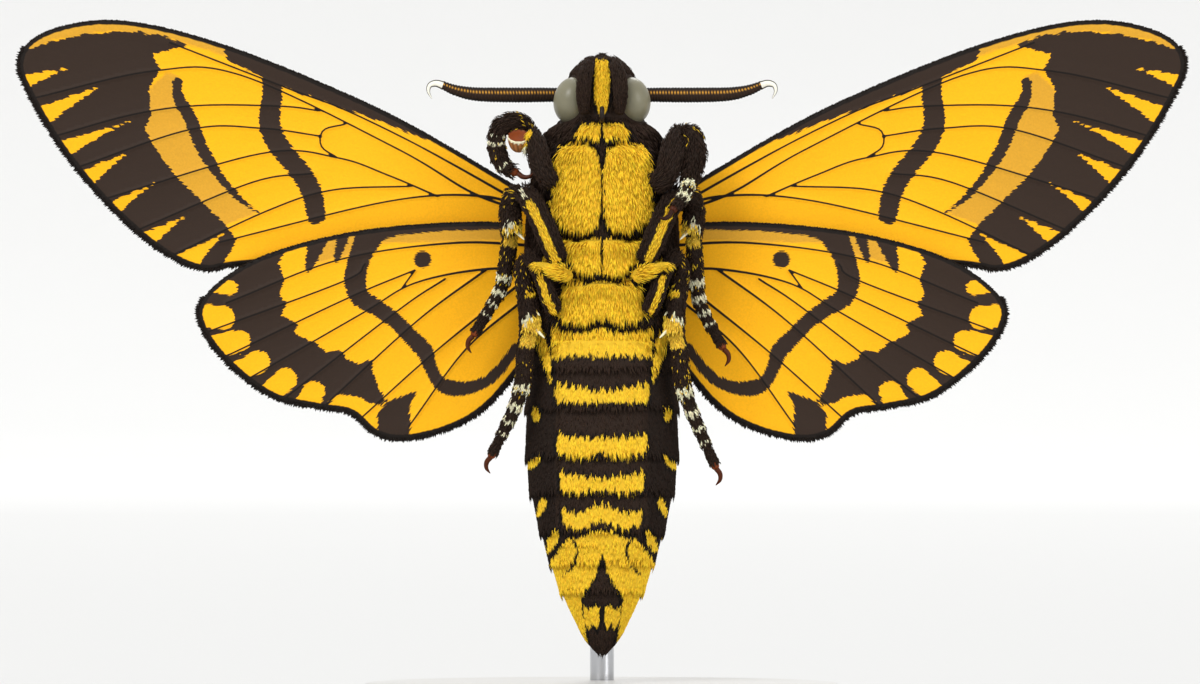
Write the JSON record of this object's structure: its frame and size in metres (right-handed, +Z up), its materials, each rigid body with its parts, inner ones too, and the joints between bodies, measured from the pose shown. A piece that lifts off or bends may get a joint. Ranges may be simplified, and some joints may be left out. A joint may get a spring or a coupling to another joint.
{
  "type": "death's head hawkmoth",
  "caption": "Life-size death's head hawkmoth with spread wings, upright with its belly forward, on a round display stand with a rod to its back.",
  "frame": {"origin": "middle of the stand base's underside, on the floor", "axes": "+X to the moth's left wing tip, +Y out of the moth's back, +Z up from its tail to its head; the belly faces -Y"},
  "size_m": [0.1168, 0.048, 0.0702],
  "materials": {
    "dark_coat": "short dark brown scales and hair",
    "yellow_coat": "golden yellow scales and hair with dark brown markings",
    "wing_scales": "yellow and dark brown scales on a thin membrane",
    "eye": "grey green, smooth, with a soft gloss",
    "feeler": "brown, finely ringed, with a pale hooked tip",
    "tongue": "dark, smooth",
    "stand_plastic": "pale satin",
    "stand_steel": "polished steel"
  },
  "bodies": {
    "root": {"abdomen": "yellow_coat", "antenna_left": "feeler", "antenna_right": "feeler", "eye_left": "eye", "eye_right": "eye", "foreleg_left_femur": "dark_coat", "foreleg_left_tarsus": "dark_coat", "foreleg_left_tibia": "dark_coat", "foreleg_right_femur": "dark_coat", "foreleg_right_tarsus": "dark_coat", "foreleg_right_tibia": "dark_coat", "forewing_left": "wing_scales", "forewing_right": "wing_scales", "head": "dark_coat", "hindleg_left_femur": "dark_coat", "hindleg_left_tarsus": "dark_coat", "hindleg_left_tibia": "dark_coat", "hindleg_right_femur": "dark_coat", "hindleg_right_tarsus": "dark_coat", "hindleg_right_tibia": "dark_coat", "hindwing_left": "wing_scales", "hindwing_right": "wing_scales", "midleg_left_femur": "dark_coat", "midleg_left_tarsus": "dark_coat", "midleg_left_tibia": "dark_coat", "midleg_right_femur": "dark_coat", "midleg_right_tarsus": "dark_coat", "midleg_right_tibia": "dark_coat", "palp_left": "dark_coat", "palp_right": "dark_coat", "proboscis": "tongue", "stand_base": "stand_plastic", "stand_rod": "stand_steel", "thorax": "yellow_coat"}
  },
  "joints": []
}
